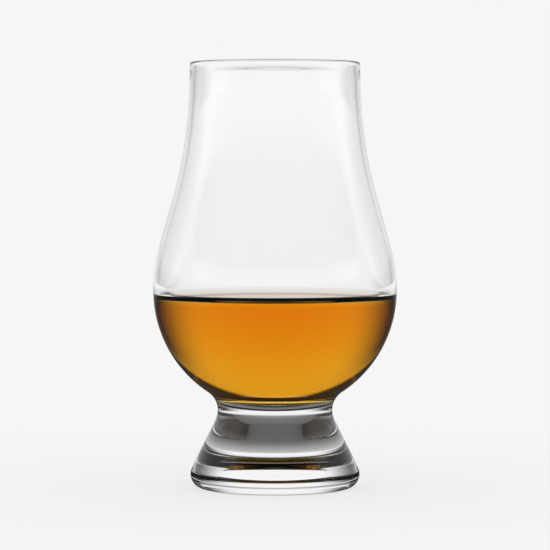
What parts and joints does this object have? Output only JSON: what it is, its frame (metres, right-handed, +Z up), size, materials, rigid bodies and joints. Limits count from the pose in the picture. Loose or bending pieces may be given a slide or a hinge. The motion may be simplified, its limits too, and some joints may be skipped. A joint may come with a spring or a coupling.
{
  "type": "whisky nosing glass",
  "caption": "Crystal nosing glass: round belly, narrowing chimney with a fire-polished rim, solid flared foot, holding a pour of amber whisky.",
  "frame": {"origin": "centre of the ring under the foot, on the plane that the glass stands on", "axes": "+Z up the glass's own axis, from the foot to the rim"},
  "size_m": [0.0658, 0.0658, 0.115],
  "materials": {
    "clear_crystal": "clear, fire-polished",
    "thick_crystal": "clear, pressed and polished",
    "amber_whisky": "clear amber liquid"
  },
  "bodies": {
    "root": {"bowl": "clear_crystal", "foot": "thick_crystal", "whisky": "amber_whisky"}
  },
  "joints": []
}
